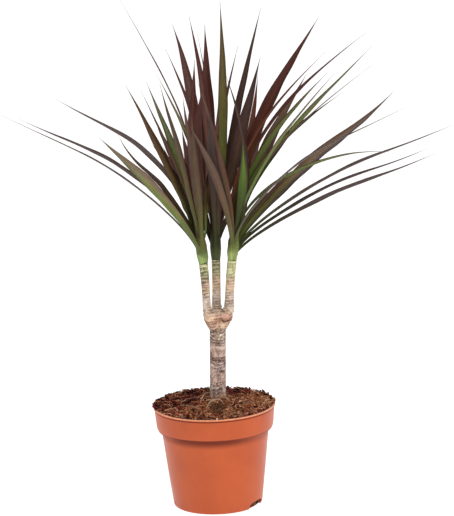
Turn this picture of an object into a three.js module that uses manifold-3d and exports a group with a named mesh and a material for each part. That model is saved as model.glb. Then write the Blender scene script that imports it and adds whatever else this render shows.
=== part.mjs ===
// A Dracaena marginata in a 12 cm nursery pot: pot, soil, a cane that forks into three branches,
// and a head of long narrow leaves on each branch.
// Millimetres, +Z up, origin at the centre of the pot's base on the surface; -Y is the front.
import * as THREE from 'three';
import { mergeVertices } from 'three/addons/utils/BufferGeometryUtils.js';
import Module from 'manifold-3d';

const wasm = await Module();
wasm.setup();

// Clearance between neighbouring pieces
const GAP = 0.3;

// Pot
const POT_HEIGHT = 100;
const RIM_RADIUS = 60;
const BASE_RADIUS = 44;
const FOOT_BEVEL = 1.5;
const SHOULDER_RADIUS = 52.4;
const SHOULDER_HEIGHT = 73.5;
const COLLAR_RADIUS = 57.4;
const COLLAR_HEIGHT = 78.6;
const BEAD = 0.8;
const WALL = 1.3;
const FLOOR = 1.6;
const POT_SEGMENTS = 48;
const NOTCH_TURNS = [-150, -30, 90];
const NOTCH_SPAN = 31;
const NOTCH_HEIGHT = 6.5;
const NOTCH_INNER = 40.5;
const DRAIN_COUNT = 6;
const DRAIN_RING = 24;
const DRAIN_RADIUS = 3;

// Soil
const SOIL_EDGE_HEIGHT = 98.4;
const SOIL_MOUND_HEIGHT = 106;
const SOIL_SEGMENTS = 36;
const SOIL_BUMP = 1.1;

// Cane: the trunk is one straight leaning rod as far as the fork
const TRUNK_RADIUS = 7.6;
const TRUNK_FOOT = new THREE.Vector3(1.6, 0, 42);
const TRUNK_TOP = new THREE.Vector3(6.5, 0, 180);
const TRUNK_RING_PITCH = 5.4;
const TRUNK_RING_DEPTH = 0.28;
const TRUNK_SIDES = 14;
const BRANCH_RING_PITCH = 4.4;
const BRANCH_RING_DEPTH = 0.16;
const BRANCH_SIDES = 8;
const RINGS_BEGIN = 106;

// Each branch runs through [x, y, z, radius] and ends under its head
const BRANCHES = {
  left: [
    [6.3, 0, 175.5, 6.9], [0.2, -3.5, 187.5, 6.5], [-3, -5, 198, 4.1],
    [-3.5, -5, 210, 3.6], [-3.9, -5, 224, 3.8], [-5, -5, 243, 4.1],
  ],
  middle: [
    [6.4, 1, 175.5, 6.9], [6.4, 6.5, 187.5, 6], [6.1, 9, 198, 4.2],
    [6.6, 9, 212, 3.8], [7, 9, 228, 3.8], [7.3, 9, 244, 4],
  ],
  right: [
    [6.5, 0, 175.5, 6.9], [13.4, -2, 186, 6.1], [17.9, -3, 197, 4.8],
    [19.2, -3, 210, 4.1], [20.9, -3, 228, 4.1], [23, -3, 245, 4.2],
  ],
};

// The swollen fork and the healed cut on its front: centre and half sizes
const FORK_LUMPS = [
  { at: [7.4, 0.5, 186.5], half: [11.4, 7.6, 8.8] },
  { at: [15.2, -6.2, 190.6], half: [5.6, 4.2, 4.6] },
];

// Heads: each stands on its branch and leans with it; its core is a tapered green stem
const CORE_HEIGHT = 30;
const CORE_FOOT_RADIUS = 4.4;
const CORE_TIP_RADIUS = 1.8;
const CORE_SWELL = 0.7;
const CORE_STEPS = 6;
const CORE_SIDES = 8;

// Leaves. Each row is: how high on the core it is rooted; the x, y and z of its tip; how far its
// middle stands above the straight line from root to tip, and to the side of it; its greatest
// width; and the turn of its blade about its own length, in degrees.
const HEADS = {
  left: {
    foot: [-5, -5, 243], lean: [-0.062, 0, 1],
    leaves: [
      [4, -184, -105, 411, 20, 6, 9, 0],
      [8, -185, 118, 371, 27, -4, 9, 0],
      [10, -147.2, 110, 391.4, 32, 3, 9, 0],
      [6, -93, -150, 394, 14, 5, 10, 35],
      [12, -85, 70, 360, 7, 0, 7, 0],
      [13, -73.5, 35, 413.4, 5, -1, 13, 0],
      [16, -59, 30, 409, 7, 0, 6, 0],
      [18, -55, 95, 407, 8, 1, 8, 0],
      [20, -38, -70, 429, 4, 1, 7, 0],
      [22, -73, -15, 502, 20, -2, 9, 0],
      [24, -17, -80, 418, 5, 0, 7, 0],
      [24, -28.6, 200, 450, 22, 8, 11, 0],
      [26, -10, 85, 472, 12, 11, 8, 0],
      [20, -6, 45, 434, 8, -4, 12, 0],
      [10, -44, 60, 420, 23, 5, 5, 0],
      [22, -35, 110, 437, 25, 9, 5, 0],
      [19, 0, -80, 421, 9, 4, 16, 0],
      [5, 18, -11, 383, 6, 0, 9, 0],
      [11, -9.7, -113.7, 406.7, 11, 0, 8, 0],
    ],
    fans: [
      { count: 5, turn: [90, 104], climb: [6, 30], length: [235, 220], root: [3, 15] },
    ],
  },
  middle: {
    foot: [7.3, 9, 244], lean: [0.015, 0, 1],
    leaves: [
      [22, 5.2, 78, 464, 8, -1, 14, 0],
      [25, 21, 60, 488, 3, 6, 10, 0],
      [20, 61, 95, 476, 4.5, -1, 9, 0],
      [23, -1.8, 15, 463, 8, 0, 5, 0],
      [24, 37, 75, 442, 13, -2, 5, 0],
      [24, 58, 40, 435, 0, 0, 13, 35],
      [7, 11, -48, 388, 9, -2, 14, 0],
      [11, 6.9, -112.9, 410.1, 11, 0, 9, 0],
      [4, -22.7, 61.1, 339, 3, 0, 10, 0],
      [5, -52.7, 59.6, 352.1, 7, 0, 8, 0],
      [5, 40, 35, 352, 8, 0, 9, 0],
    ],
    fans: [
      { count: 6, turn: [72, 98], climb: [8, 36], length: [240, 195], root: [3, 17] },
    ],
  },
  right: {
    foot: [23, -3, 245], lean: [0.1, 0, 1],
    leaves: [
      [24, 118, 95, 465, 17, -5, 15, 0],
      [22, 55.5, 66, 414, 4, 4, 9, 0],
      [20, 23.9, 25, 420.8, 14, 15, 5, 0],
      [20, 163, 75, 450, 33, -3, 7, 0],
      [22, 121, 30, 439, 26, -2, 7, 0],
      [18, 105, 120, 405, 11, -1, 13, 0],
      [16, 125, -70, 433, 14, 0, 10, 0],
      [18, 124, 80, 411, 20, -3, 10, 0],
      [16, 168, 55, 440, 18, -2, 9, 0],
      [14, 136, 40, 397, 23, -1, 11, 0],
      [8, 192, 135, 381, 8, -4, 14, 25],
      [7, 188, -115, 406, 24, 4, 10, 0],
      [5.5, 249, 95, 352, 18, -1, 11, 0],
      [4.5, 226, 125, 324, 14, -2, 11, 0],
      [3, 231, 100, 323, 11, 0, 11, 0],
      [14, 187, 60, 333, 32, -1, 9, 0],
      [18, 37, -70, 374, 3, -5, 10, 0],
      [7, -11, -120, 396, 12, -3, 8, 20],
      [9, -3, -110, 437, 7, -5, 6, 0],
      [22, 80.9, 110, 410.4, 23, -2, 5, 0],
      [18, 161, -60, 438, 22, 0, 6, 0],
    ],
    fans: [
      { count: 4, turn: [64, 86], climb: [4, 30], length: [235, 220], root: [4, 15] },
    ],
  },
};

const GOLDEN_SHARE = 0.618;
const FAN_BOW = 11;
const FAN_WIDTHS = [10, 8, 9];

const LEAF_STEPS = [0, 0.06, 0.18, 0.36, 0.56, 0.74, 0.89, 1];
const LEAF_WIDEST = 0.56;
const ROOT_OUT = 0.6;
const LEAF_FOOT_WIDTH = 0.45;
const LEAF_TIP_WIDTH = 1;
const LEAF_THICKNESS = [1.2, 0.7];
const LEAF_CHANNEL = 0.22;
const TURN_BY = 0.35;

const POT_COLOUR = '#c66846';
const SOIL_COLOUR = '#4a2d1f';
const CANE_COLOUR = '#a08672';
const LEAF_COLOUR = '#5c4034';

const degrees = THREE.MathUtils.degToRad;

function toSolid(geometry) {
  geometry.deleteAttribute('normal');
  geometry.deleteAttribute('uv');
  const merged = mergeVertices(geometry, 1e-4);
  return new wasm.Manifold(new wasm.Mesh({
    numProp: 3,
    vertProperties: new Float32Array(merged.attributes.position.array),
    triVerts: new Uint32Array(merged.index.array),
  }));
}

function toGeometry(solid) {
  const mesh = solid.getMesh();
  const geometry = new THREE.BufferGeometry();
  geometry.setAttribute('position', new THREE.BufferAttribute(new Float32Array(mesh.vertProperties), 3));
  geometry.setIndex(new THREE.BufferAttribute(new Uint32Array(mesh.triVerts), 1));
  geometry.computeVertexNormals();
  return geometry;
}

// Solids fused into one body: a hollow that this seals is filled, and a loose scrap is dropped
function joined(solids) {
  const parts = solids.reduce((sum, solid) => sum.add(solid)).decompose();
  return parts.reduce((largest, part) => (part.volume() > largest.volume() ? part : largest));
}

// A closed skin over rings of points, each ring in the same order, with a fan on both ends
function skin(rings) {
  const sides = rings[0].length;
  const points = rings.flat();
  const faces = [];
  for (let ring = 0; ring + 1 < rings.length; ring += 1) {
    for (let side = 0; side < sides; side += 1) {
      const next = (side + 1) % sides;
      const low = ring * sides;
      const high = low + sides;
      faces.push(low + side, low + next, high + next, low + side, high + next, high + side);
    }
  }
  const last = (rings.length - 1) * sides;
  for (let side = 1; side + 1 < sides; side += 1) {
    faces.push(0, side + 1, side);
    faces.push(last, last + side, last + side + 1);
  }
  const geometry = new THREE.BufferGeometry();
  geometry.setFromPoints(points);
  geometry.setIndex(faces);
  return geometry;
}

// A round limb along a curve, with its radius given at each step
function limb(curve, steps, sides, radiusAt) {
  const rings = [];
  for (let step = 0; step <= steps; step += 1) {
    const along = step / steps;
    const centre = curve.getPointAt(along);
    const ahead = curve.getTangentAt(along);
    const side = new THREE.Vector3(0, 1, 0).addScaledVector(ahead, -ahead.y).normalize();
    const front = new THREE.Vector3().crossVectors(ahead, side);
    const radius = radiusAt(along, step);
    const ring = [];
    for (let corner = 0; corner < sides; corner += 1) {
      const angle = (2 * Math.PI * corner) / sides;
      ring.push(centre.clone()
        .addScaledVector(side, radius * Math.cos(angle))
        .addScaledVector(front, radius * Math.sin(angle)));
    }
    rings.push(ring);
  }
  return skin(rings);
}

function lathe(profile, segments) {
  const points = profile.map(([radius, height]) => new THREE.Vector2(radius, height));
  return new THREE.LatheGeometry(points, segments).rotateX(Math.PI / 2);
}

// The pot's wall radius on the inside, below and in the collar
function innerRadius(height) {
  if (height < SHOULDER_HEIGHT) {
    const up = height / SHOULDER_HEIGHT;
    return THREE.MathUtils.lerp(BASE_RADIUS, SHOULDER_RADIUS, up) - WALL;
  }
  if (height < COLLAR_HEIGHT) {
    const up = (height - SHOULDER_HEIGHT) / (COLLAR_HEIGHT - SHOULDER_HEIGHT);
    return THREE.MathUtils.lerp(SHOULDER_RADIUS, COLLAR_RADIUS, up) - WALL;
  }
  const up = (height - COLLAR_HEIGHT) / (POT_HEIGHT - COLLAR_HEIGHT);
  return THREE.MathUtils.lerp(COLLAR_RADIUS, RIM_RADIUS - BEAD, up) - WALL;
}

// A block that fills one drainage notch in the pot's foot
function notchBlock(turn) {
  const reach = BASE_RADIUS + 6;
  const half = degrees(NOTCH_SPAN / 2);
  const shape = new THREE.Shape();
  shape.moveTo(NOTCH_INNER * Math.cos(half), -NOTCH_INNER * Math.sin(half));
  shape.lineTo(reach * Math.cos(half), -reach * Math.sin(half));
  shape.lineTo(reach, 0);
  shape.lineTo(reach * Math.cos(half), reach * Math.sin(half));
  shape.lineTo(NOTCH_INNER * Math.cos(half), NOTCH_INNER * Math.sin(half));
  shape.lineTo(NOTCH_INNER, 0);
  const block = new THREE.ExtrudeGeometry(shape, { depth: NOTCH_HEIGHT + 5, bevelEnabled: false });
  return block.translate(0, 0, -5).rotateZ(degrees(turn));
}

function potSolid() {
  const shell = lathe([
    [0, 0],
    [BASE_RADIUS - FOOT_BEVEL, 0],
    [BASE_RADIUS, FOOT_BEVEL],
    [SHOULDER_RADIUS, SHOULDER_HEIGHT],
    [COLLAR_RADIUS, COLLAR_HEIGHT],
    [RIM_RADIUS - BEAD, POT_HEIGHT - 3 * BEAD],
    [RIM_RADIUS, POT_HEIGHT - 2 * BEAD],
    [RIM_RADIUS, POT_HEIGHT - BEAD],
    [RIM_RADIUS - BEAD, POT_HEIGHT],
    [innerRadius(POT_HEIGHT), POT_HEIGHT],
    [innerRadius(COLLAR_HEIGHT), COLLAR_HEIGHT],
    [innerRadius(SHOULDER_HEIGHT - 0.01), SHOULDER_HEIGHT],
    [innerRadius(FLOOR), FLOOR],
    [0, FLOOR],
  ], POT_SEGMENTS);
  let pot = toSolid(shell);
  for (const turn of NOTCH_TURNS) {
    pot = pot.subtract(toSolid(notchBlock(turn)));
  }
  for (let hole = 0; hole < DRAIN_COUNT; hole += 1) {
    const angle = (2 * Math.PI * (hole + 0.5)) / DRAIN_COUNT;
    const drill = new THREE.CylinderGeometry(DRAIN_RADIUS, DRAIN_RADIUS, 3 * FLOOR, 10).rotateX(Math.PI / 2);
    drill.translate(DRAIN_RING * Math.cos(angle), DRAIN_RING * Math.sin(angle), FLOOR / 2);
    pot = pot.subtract(toSolid(drill));
  }
  return pot;
}

function trunkCurve() {
  return new THREE.LineCurve3(TRUNK_FOOT, TRUNK_TOP);
}

// The soil is turned on a lathe, its top rises to a low mound, and formula bumps roughen it
function soilSolid() {
  const floor = FLOOR + GAP;
  const profile = [
    [0, floor],
    [innerRadius(floor) - GAP, floor],
    [innerRadius(SHOULDER_HEIGHT) - GAP, SHOULDER_HEIGHT],
    [innerRadius(COLLAR_HEIGHT) - GAP, COLLAR_HEIGHT + 0.2],
    [innerRadius(SOIL_EDGE_HEIGHT) - GAP, SOIL_EDGE_HEIGHT],
    [54, 100],
    [47, 101.4],
    [39, 102.6],
    [31, 103.6],
    [23, 104.8],
    [15, SOIL_MOUND_HEIGHT],
    [0, SOIL_MOUND_HEIGHT + 0.5],
  ];
  const mound = lathe(profile, SOIL_SEGMENTS);
  const place = mound.attributes.position;
  for (let index = 0; index < place.count; index += 1) {
    const x = place.getX(index);
    const y = place.getY(index);
    const z = place.getZ(index);
    const radius = Math.hypot(x, y);
    if (z > SOIL_EDGE_HEIGHT + 0.1 && radius > 10) {
      const bump = Math.sin(0.31 * x + 1.3) * Math.sin(0.27 * y + 0.4) + 0.6 * Math.sin(0.83 * x - 0.71 * y);
      place.setZ(index, z + SOIL_BUMP * bump);
    }
  }
  const hole = limb(new THREE.LineCurve3(
    new THREE.Vector3().lerpVectors(TRUNK_FOOT, TRUNK_TOP, -GAP / 100),
    TRUNK_TOP,
  ), 1, 2 * TRUNK_SIDES, () => TRUNK_RADIUS + GAP);
  return toSolid(mound).subtract(toSolid(hole));
}

function ellipsoid({ at, half }) {
  return new THREE.SphereGeometry(1, 14, 10).scale(...half).translate(...at);
}

function caneSolid() {
  const rod = trunkCurve();
  const length = rod.getLength();
  const rise = TRUNK_TOP.z - TRUNK_FOOT.z;
  const buried = (RINGS_BEGIN - TRUNK_FOOT.z) / rise;
  const trunkSteps = Math.round((2 * length * (1 - buried)) / TRUNK_RING_PITCH);
  const bare = new THREE.LineCurve3(TRUNK_FOOT, rod.getPointAt(buried));
  const ringed = new THREE.LineCurve3(rod.getPointAt(buried), TRUNK_TOP);
  const pieces = [
    toSolid(limb(bare, 1, TRUNK_SIDES, () => TRUNK_RADIUS)),
    toSolid(limb(ringed, trunkSteps, TRUNK_SIDES, (along, step) => (
      TRUNK_RADIUS - (step % 2) * TRUNK_RING_DEPTH))),
  ];
  for (const stations of Object.values(BRANCHES)) {
    const curve = new THREE.CatmullRomCurve3(stations.map(([x, y, z]) => new THREE.Vector3(x, y, z)));
    const steps = Math.round((2 * curve.getLength()) / BRANCH_RING_PITCH);
    const radiusAt = (along, step) => {
      const height = curve.getPointAt(along).z;
      let upper = stations.findIndex((station) => station[2] >= height - 1e-6);
      upper = Math.max(1, upper);
      const [, , lowZ, lowRadius] = stations[upper - 1];
      const [, , highZ, highRadius] = stations[upper];
      const mix = THREE.MathUtils.clamp((height - lowZ) / (highZ - lowZ), 0, 1);
      return THREE.MathUtils.lerp(lowRadius, highRadius, mix) - (step % 2) * BRANCH_RING_DEPTH;
    };
    pieces.push(toSolid(limb(curve, steps, BRANCH_SIDES, radiusAt)));
  }
  for (const lump of FORK_LUMPS) {
    pieces.push(toSolid(ellipsoid(lump)));
  }
  return joined(pieces);
}

// How wide a blade is along its length, as a share of its greatest width
function spread(along) {
  if (along < LEAF_WIDEST) {
    const grown = Math.sin((Math.PI / 2) * (along / LEAF_WIDEST));
    return THREE.MathUtils.lerp(LEAF_FOOT_WIDTH, 1, grown ** 1.4);
  }
  return 1 - ((along - LEAF_WIDEST) / (1 - LEAF_WIDEST)) ** 1.3;
}

// A blade leaves its head steeply and bends outward: the share of its bow at a place along it
function bend(along) {
  return (along ** 0.7 * (1 - along)) / 0.308;
}

// The core tapers, but swells a little where the leaves leave it
function coreRadius(along) {
  return THREE.MathUtils.lerp(CORE_FOOT_RADIUS, CORE_TIP_RADIUS, along ** 3)
    + CORE_SWELL * Math.sin(Math.PI * along);
}

function leafSolid(head, row) {
  const [height, tipX, tipY, tipZ, bow, sway, width, turn] = row;
  const lean = new THREE.Vector3(...head.lean).normalize();
  const root = new THREE.Vector3(...head.foot).addScaledVector(lean, height);
  const tip = new THREE.Vector3(tipX, tipY, tipZ);
  const reach = tip.clone().sub(root);
  const outward = new THREE.Vector3(reach.x, reach.y, 0).normalize();
  const chord = reach.clone().normalize();
  const above = new THREE.Vector3(0, 0, 1).addScaledVector(chord, -chord.z).normalize();
  const beside = new THREE.Vector3().crossVectors(chord, above);
  const level = new THREE.Vector3().crossVectors(new THREE.Vector3(0, 0, 1), outward);
  const out = ROOT_OUT * coreRadius(height / CORE_HEIGHT);
  const centreAt = (along) => root.clone()
    .addScaledVector(outward, out * (1 - along))
    .addScaledVector(reach, along)
    .addScaledVector(above, bow * bend(along))
    .addScaledVector(beside, sway * bend(along));
  const rings = LEAF_STEPS.map((along) => {
    const centre = centreAt(along);
    const ahead = centreAt(Math.min(1, along + 0.02)).sub(centreAt(Math.max(0, along - 0.02))).normalize();
    const across = level.clone().addScaledVector(ahead, -level.dot(ahead)).normalize();
    across.applyAxisAngle(ahead, degrees(turn) * Math.min(1, along / TURN_BY));
    const upper = new THREE.Vector3().crossVectors(ahead, across);
    const half = Math.max(LEAF_TIP_WIDTH, width * spread(along)) / 2;
    const thick = THREE.MathUtils.lerp(LEAF_THICKNESS[0], LEAF_THICKNESS[1], Math.min(1, 2.5 * along)) / 2;
    const edge = LEAF_CHANNEL * half;
    const at = (side, up) => centre.clone().addScaledVector(across, side).addScaledVector(upper, up);
    return [at(-half, edge + thick), at(-half, edge - thick), at(0, -thick), at(half, edge - thick),
      at(half, edge + thick), at(0, thick)];
  });
  return toSolid(bladeSkin(rings));
}

// A blade's skin: both faces are split the same way, so the thin blade never crosses itself
function bladeSkin(rings) {
  const sides = 6;
  const points = rings.flat();
  const faces = [];
  const [leftTop, leftUnder, middleUnder, rightUnder, rightTop, middleTop] = [0, 1, 2, 3, 4, 5];
  const quads = [
    [leftTop, leftUnder, false], [leftUnder, middleUnder, false], [middleUnder, rightUnder, true],
    [rightUnder, rightTop, false], [rightTop, middleTop, false], [middleTop, leftTop, true],
  ];
  for (let ring = 0; ring + 1 < rings.length; ring += 1) {
    const low = ring * sides;
    const high = low + sides;
    for (const [one, two, flip] of quads) {
      if (flip) {
        faces.push(low + one, low + two, high + one, low + two, high + two, high + one);
      } else {
        faces.push(low + one, low + two, high + two, low + one, high + two, high + one);
      }
    }
  }
  const caps = [[leftTop, middleUnder, leftUnder], [leftTop, middleTop, middleUnder],
    [middleTop, rightTop, middleUnder], [rightTop, rightUnder, middleUnder]];
  const last = (rings.length - 1) * sides;
  for (const [one, two, three] of caps) {
    faces.push(one, two, three);
    faces.push(last + one, last + three, last + two);
  }
  const geometry = new THREE.BufferGeometry();
  geometry.setFromPoints(points);
  geometry.setIndex(faces);
  return geometry;
}

// The leaves of a head's fans: each turns on from the last by the golden share of the fan
function fanLeaves(head) {
  const rows = [];
  for (const fan of head.fans) {
    const between = ([low, high], share) => THREE.MathUtils.lerp(low, high, share);
    for (let leaf = 0; leaf < fan.count; leaf += 1) {
      const share = (leaf + 0.5) / fan.count;
      const turn = degrees(between(fan.turn, (0.5 + leaf * GOLDEN_SHARE) % 1));
      const climb = degrees(between(fan.climb, share));
      const length = between(fan.length, share);
      const height = between(fan.root, share);
      const level = length * Math.cos(climb);
      rows.push([
        height,
        head.foot[0] + head.lean[0] * height + level * Math.cos(turn),
        head.foot[1] + head.lean[1] * height + level * Math.sin(turn),
        head.foot[2] + height + length * Math.sin(climb),
        FAN_BOW, 0, FAN_WIDTHS[leaf % FAN_WIDTHS.length], 0,
      ]);
    }
  }
  return rows;
}

function headLeaves(head) {
  return [...head.leaves, ...fanLeaves(head)];
}

function headSolid(head) {
  const lean = new THREE.Vector3(...head.lean).normalize();
  const foot = new THREE.Vector3(...head.foot).addScaledVector(lean, GAP);
  const top = foot.clone().addScaledVector(lean, CORE_HEIGHT);
  const core = limb(new THREE.LineCurve3(foot, top), CORE_STEPS, CORE_SIDES, coreRadius);
  return joined([toSolid(core), ...headLeaves(head).map((row) => leafSolid(head, row))]);
}

function piece(name, solid, colour, roughness) {
  const material = new THREE.MeshStandardMaterial({ color: colour, roughness, metalness: 0 });
  material.flatShading = true;
  const mesh = new THREE.Mesh(toGeometry(solid), material);
  mesh.name = name;
  return mesh;
}

const plant = new THREE.Group();
plant.add(piece('pot', potSolid(), POT_COLOUR, 0.45));
plant.add(piece('soil', soilSolid(), SOIL_COLOUR, 0.95));
plant.add(piece('cane', caneSolid(), CANE_COLOUR, 0.8));
for (const [name, head] of Object.entries(HEADS)) {
  plant.add(piece(`head_${name}`, headSolid(head), LEAF_COLOUR, 0.45));
}

export default plant;
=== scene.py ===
"""Looks for a young Dracaena marginata in a plastic nursery pot: pot, soil, cane and three leaf heads.

Sizes are millimetres, +Z up, -Y is the front; each mesh is turned into metres as it is made.
"""
import bmesh
import bpy
import math
import random
from mathutils import Matrix, Vector
from mathutils.noise import noise


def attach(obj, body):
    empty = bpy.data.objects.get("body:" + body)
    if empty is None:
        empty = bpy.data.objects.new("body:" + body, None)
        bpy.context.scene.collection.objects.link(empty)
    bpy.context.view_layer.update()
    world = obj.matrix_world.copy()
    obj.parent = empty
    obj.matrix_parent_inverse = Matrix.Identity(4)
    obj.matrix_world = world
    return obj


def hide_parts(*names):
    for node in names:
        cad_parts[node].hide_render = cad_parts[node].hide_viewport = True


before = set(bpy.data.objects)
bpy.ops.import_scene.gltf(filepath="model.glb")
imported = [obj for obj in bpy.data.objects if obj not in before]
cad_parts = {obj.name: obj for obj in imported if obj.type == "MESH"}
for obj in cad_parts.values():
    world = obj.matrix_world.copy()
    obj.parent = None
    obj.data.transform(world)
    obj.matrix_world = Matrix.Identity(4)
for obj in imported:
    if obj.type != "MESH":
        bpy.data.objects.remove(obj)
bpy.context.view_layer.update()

MM = 0.001
UP = Vector((0, 0, 1))

# Camera, fitted to the pot's rim, collar and base in the photograph
CAMERA_PLACE = Vector((18.1, -2506.5, 791.1))
CAMERA_PITCH = 12.272
CAMERA_ROLL = 2.254
CAMERA_LENS = 184.5

# Studio: the sky is white up to a height on the unit sphere, then dims to its overhead strength
SKY_WHITE_TO = 0.12
SKY_DIM_FROM = 0.5
SKY_OVERHEAD = 0.3
WHITE = (1, 1, 1, 1)
FLOOR_ALBEDO = 0.3
FLOOR_GLOW = 0.95
FLOOR_HALF = 40  # metres
FLOOR_DROP = 0.0004  # metres below the pot's foot
# Each light: its name, its place and width in metres, and its watts
LIGHTS = (
    ("key", (0.95, -1.25, 1.7), 0.8, 27),
    ("fill", (-1.6, -0.7, 1.3), 1.2, 7),
    ("top", (0.1, 0.3, 2.0), 1.3, 16),
)
LIGHTS_FACE = Vector((0.02, 0, 0.25))

# Pot
POT_HEIGHT = 100
RIM_RADIUS = 60
BASE_RADIUS = 44
SHOULDER_RADIUS = 52.4
SHOULDER_HEIGHT = 73.5
COLLAR_RADIUS = 57.4
COLLAR_HEIGHT = 78.6
BEAD = 0.8
WALL = 1.3
FLOOR = 1.6
POT_SIDES = 192
NOTCHES = ((-150, 43.75), (-30, 40.5), (90, 40.5))  # the turn of each, and the radius it starts at
NOTCH_SPAN = 31
NOTCH_HEIGHT = 6.5
NOTCH_STEPS = 14
# The heights where the painted shadow in a crease starts, is full, starts to fade and ends
SHADOW_UNDER_COLLAR = (67, 76, 77.8, 79)
SHADOW_UNDER_LIP = (96.6, 97.3, 97.9, 98.3)
DRAIN_COUNT = 6
DRAIN_RING = 24
DRAIN_RADIUS = 3

# Soil: the height of its top at each distance from the pot's axis
SOIL_PROFILE = (
    (0, 106.5), (15, 106), (23, 104.8), (31, 103.6), (39, 102.6), (47, 101.4), (54, 100), (57.5, 98.6),
)
SOIL_GAP = 0.3
SOIL_SIDES = 240
SOIL_RINGS = 90
# The heights of the bed's rings in the stem's hole, and of those down the pot's inside
SOIL_BORE = (42, 88)
SOIL_SIDE = (96, COLLAR_HEIGHT, SHOULDER_HEIGHT, FLOOR + SOIL_GAP)
STEM_FOOT_HEIGHT = 105
SOIL_EDGE_HEIGHT = 99
# How far the bed under the crumbs is dimmed: painted shade for the gaps between the crumbs
BED_PAINTED_SHADE = 0.34
SOIL_PALE = (
    "#84422e", "#a8583e", "#4a1e16", "#ca8660", "#8e4a34", "#f2c0a0", "#280f0a", "#c6866c", "#6e3224",
)
SOIL_DARK = ("#401814", "#5c241c", "#280e0c", "#70302a", "#180806", "#844038", "#4c1c22")
WET_PATCHES = ((-26, 6, 20), (24, 34, 21), (-8, 44, 16))  # x, y and reach of each
CRUMB_COUNT = 7600
CRUMB_REACH = 57.2
FINEST_CRUMB = 0.3
COARSE_FROM = 1.35  # crumbs over this size get more facets
# The dark lump of roots in front of the trunk: its crumbs, middle, half sizes and tone
LUMP_CRUMBS = 700
LUMP_PLACE = Vector((3, -29, 101.4))
LUMP_HALF = (9.8, 16, 5.6)
LUMP_TONE = "#5e3f2a"
RIM_SHADE = 0.75
# Crumbs on and over the rim, at the left, at the right, all along the back, and in one heap: the middle
# and the spread in degrees, the count, and how high they heap
RIM_CRUMBS = ((184, 14, 90, 1.3), (6, 12, 40, 0.7), (98, 82, 620, 1.1), (60, 8, 22, 2.2))
FIBRE_TRIES = 1500
FIBRE_REACH = 55.5
FIBRE_LIMIT = 60  # no fibre reaches further from the pot's axis
FIBRE_TONES = ("#c07a4c", "#a85e38", "#dc9e70", "#924a2c", "#ecba92", "#a86a4c")
COIR_COUNT = 26  # in the pale tangle at the right of the rim
RIM_HAIRS = 150  # short, over the left, the back and the right of the rim
BIT_TONE = "#4a2f22"
# Sharp bits that stand up near the rim: x, y, height and lean of each
UPRIGHT_BITS = (
    (-8, 53, 4.2, -1.6), (-6, 54, 3, 1.8), (32, 47, 4.6, 0.4), (37, 45, 3.6, 1.6),
    (-30, 46, 2.6, -1.2), (12, 56, 2.4, 0.8), (-58, 5, 3, -1.4), (52, 22, 2.8, 1.2),
)
# Surface roots beside the trunk: the places each passes, and its radius. The first few are the palest.
PALE_ARCS = 3
ARC_TONES = ("#d6bba4", "#a07860")
ROOT_ARCS = (
    (((-3, 5.5, 109.5), (-8.4, 3, 109), (-12.2, -8, 106.6), (-14, -20, 103.6), (-12, -29, 102)), 0.42),
    (((-7.5, -30, 103), (-4.8, -22, 106), (1, -18.5, 108.6), (7, -20, 107.6), (10.8, -27, 103)), 0.5),
    (((10, -6, 107), (14, -10, 105.6), (15.5, -18, 104.4), (12, -25, 102.6)), 0.42),
    (((11, 2, 107), (19, -1, 105.9), (26, -6, 104.6), (30, -14, 103)), 0.4),
    (((-4, -1, 107), (-15, 4, 105.6), (-25, 2, 104.4), (-33, -5, 102.8)), 0.42),
    (((-33.5, -17.8, 103.4), (-24, -22, 104.4), (-14, -31, 103.4)), 0.5),
    (((28, -20, 103.6), (36, -16, 104.2), (43, -20, 102)), 0.42),
    (((6, 8, 107), (8, 18, 106), (2, 28, 104.5)), 0.5),
)
STRAND_COUNT = 44  # strands that run down the trunk's foot
STRAND_TONES = ("#b39a84", "#a88a72", "#8f6e58", "#c8b39e", "#7d5a45")

# Cane: each station is a branch's x, y, z and radius; each lump of the fork a middle and half sizes
TRUNK_RADIUS = 7.6
TRUNK_STEPS = 60
TRUNK_FOOT = Vector((1.6, 0, 42))
TRUNK_TOP = Vector((6.5, 0, 180))
BRANCHES = {
    "left": ((6.3, 0, 175.5, 6.9), (0.2, -3.5, 187.5, 6.5), (-3, -5, 198, 4.1),
             (-3.5, -5, 210, 3.6), (-3.9, -5, 224, 3.8), (-5, -5, 243, 4.1)),
    "middle": ((6.4, 1, 175.5, 6.9), (6.4, 6.5, 187.5, 6), (6.1, 9, 198, 4.2),
               (6.6, 9, 212, 3.8), (7, 9, 228, 3.8), (7.3, 9, 244, 4)),
    "right": ((6.5, 0, 175.5, 6.9), (13.4, -2, 186, 6.1), (17.9, -3, 197, 4.8),
              (19.2, -3, 210, 4.1), (20.9, -3, 228, 4.1), (23, -3, 245, 4.2)),
}
FORK_LUMPS = (((7.4, 0.5, 186.5), (11.4, 7.6, 8.8)), ((15.2, -6.2, 190.6), (5.6, 4.2, 4.6)))
HEALED_CUT = Vector((14.6, -10, 189))
CUT_FACE = "#cf9c88"
# The colour of the painted shadow in the crease under the healed cut
CUT_CREASE_SHADOW = "#4a2c1e"
CREST_TONES = {True: "#e8dacf", False: "#e6e0bc"}  # low down, and on the young green wood
CANE_VOXEL = 0.45
CANE_SWELL = {"trunk": 0.4, "left": 0.35, "middle": 0.4, "right": 0.4}
# Each zone of the bark: its plain tone, the tone of its patches, and that of its stains and cracks, which
# also paints the shadow line under each ring
BARK_TONES = {
    "trunk": ("#ae9080", "#d0b2a4", "#5a4038"),
    "neck": ("#917662", "#a88e7a", "#4e382c"),
    "fork": ("#caa286", "#e2bea0", "#8a5c42"),
    "low": ("#bda897", "#d2beac", "#806654"),
    "mid": ("#bc9c80", "#d6b094", "#7a5a42"),
    "top": ("#a8a874", "#c4c492", "#5e5c38"),
    "top_middle": ("#827c58", "#a29a74", "#423e2a"),
}

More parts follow.
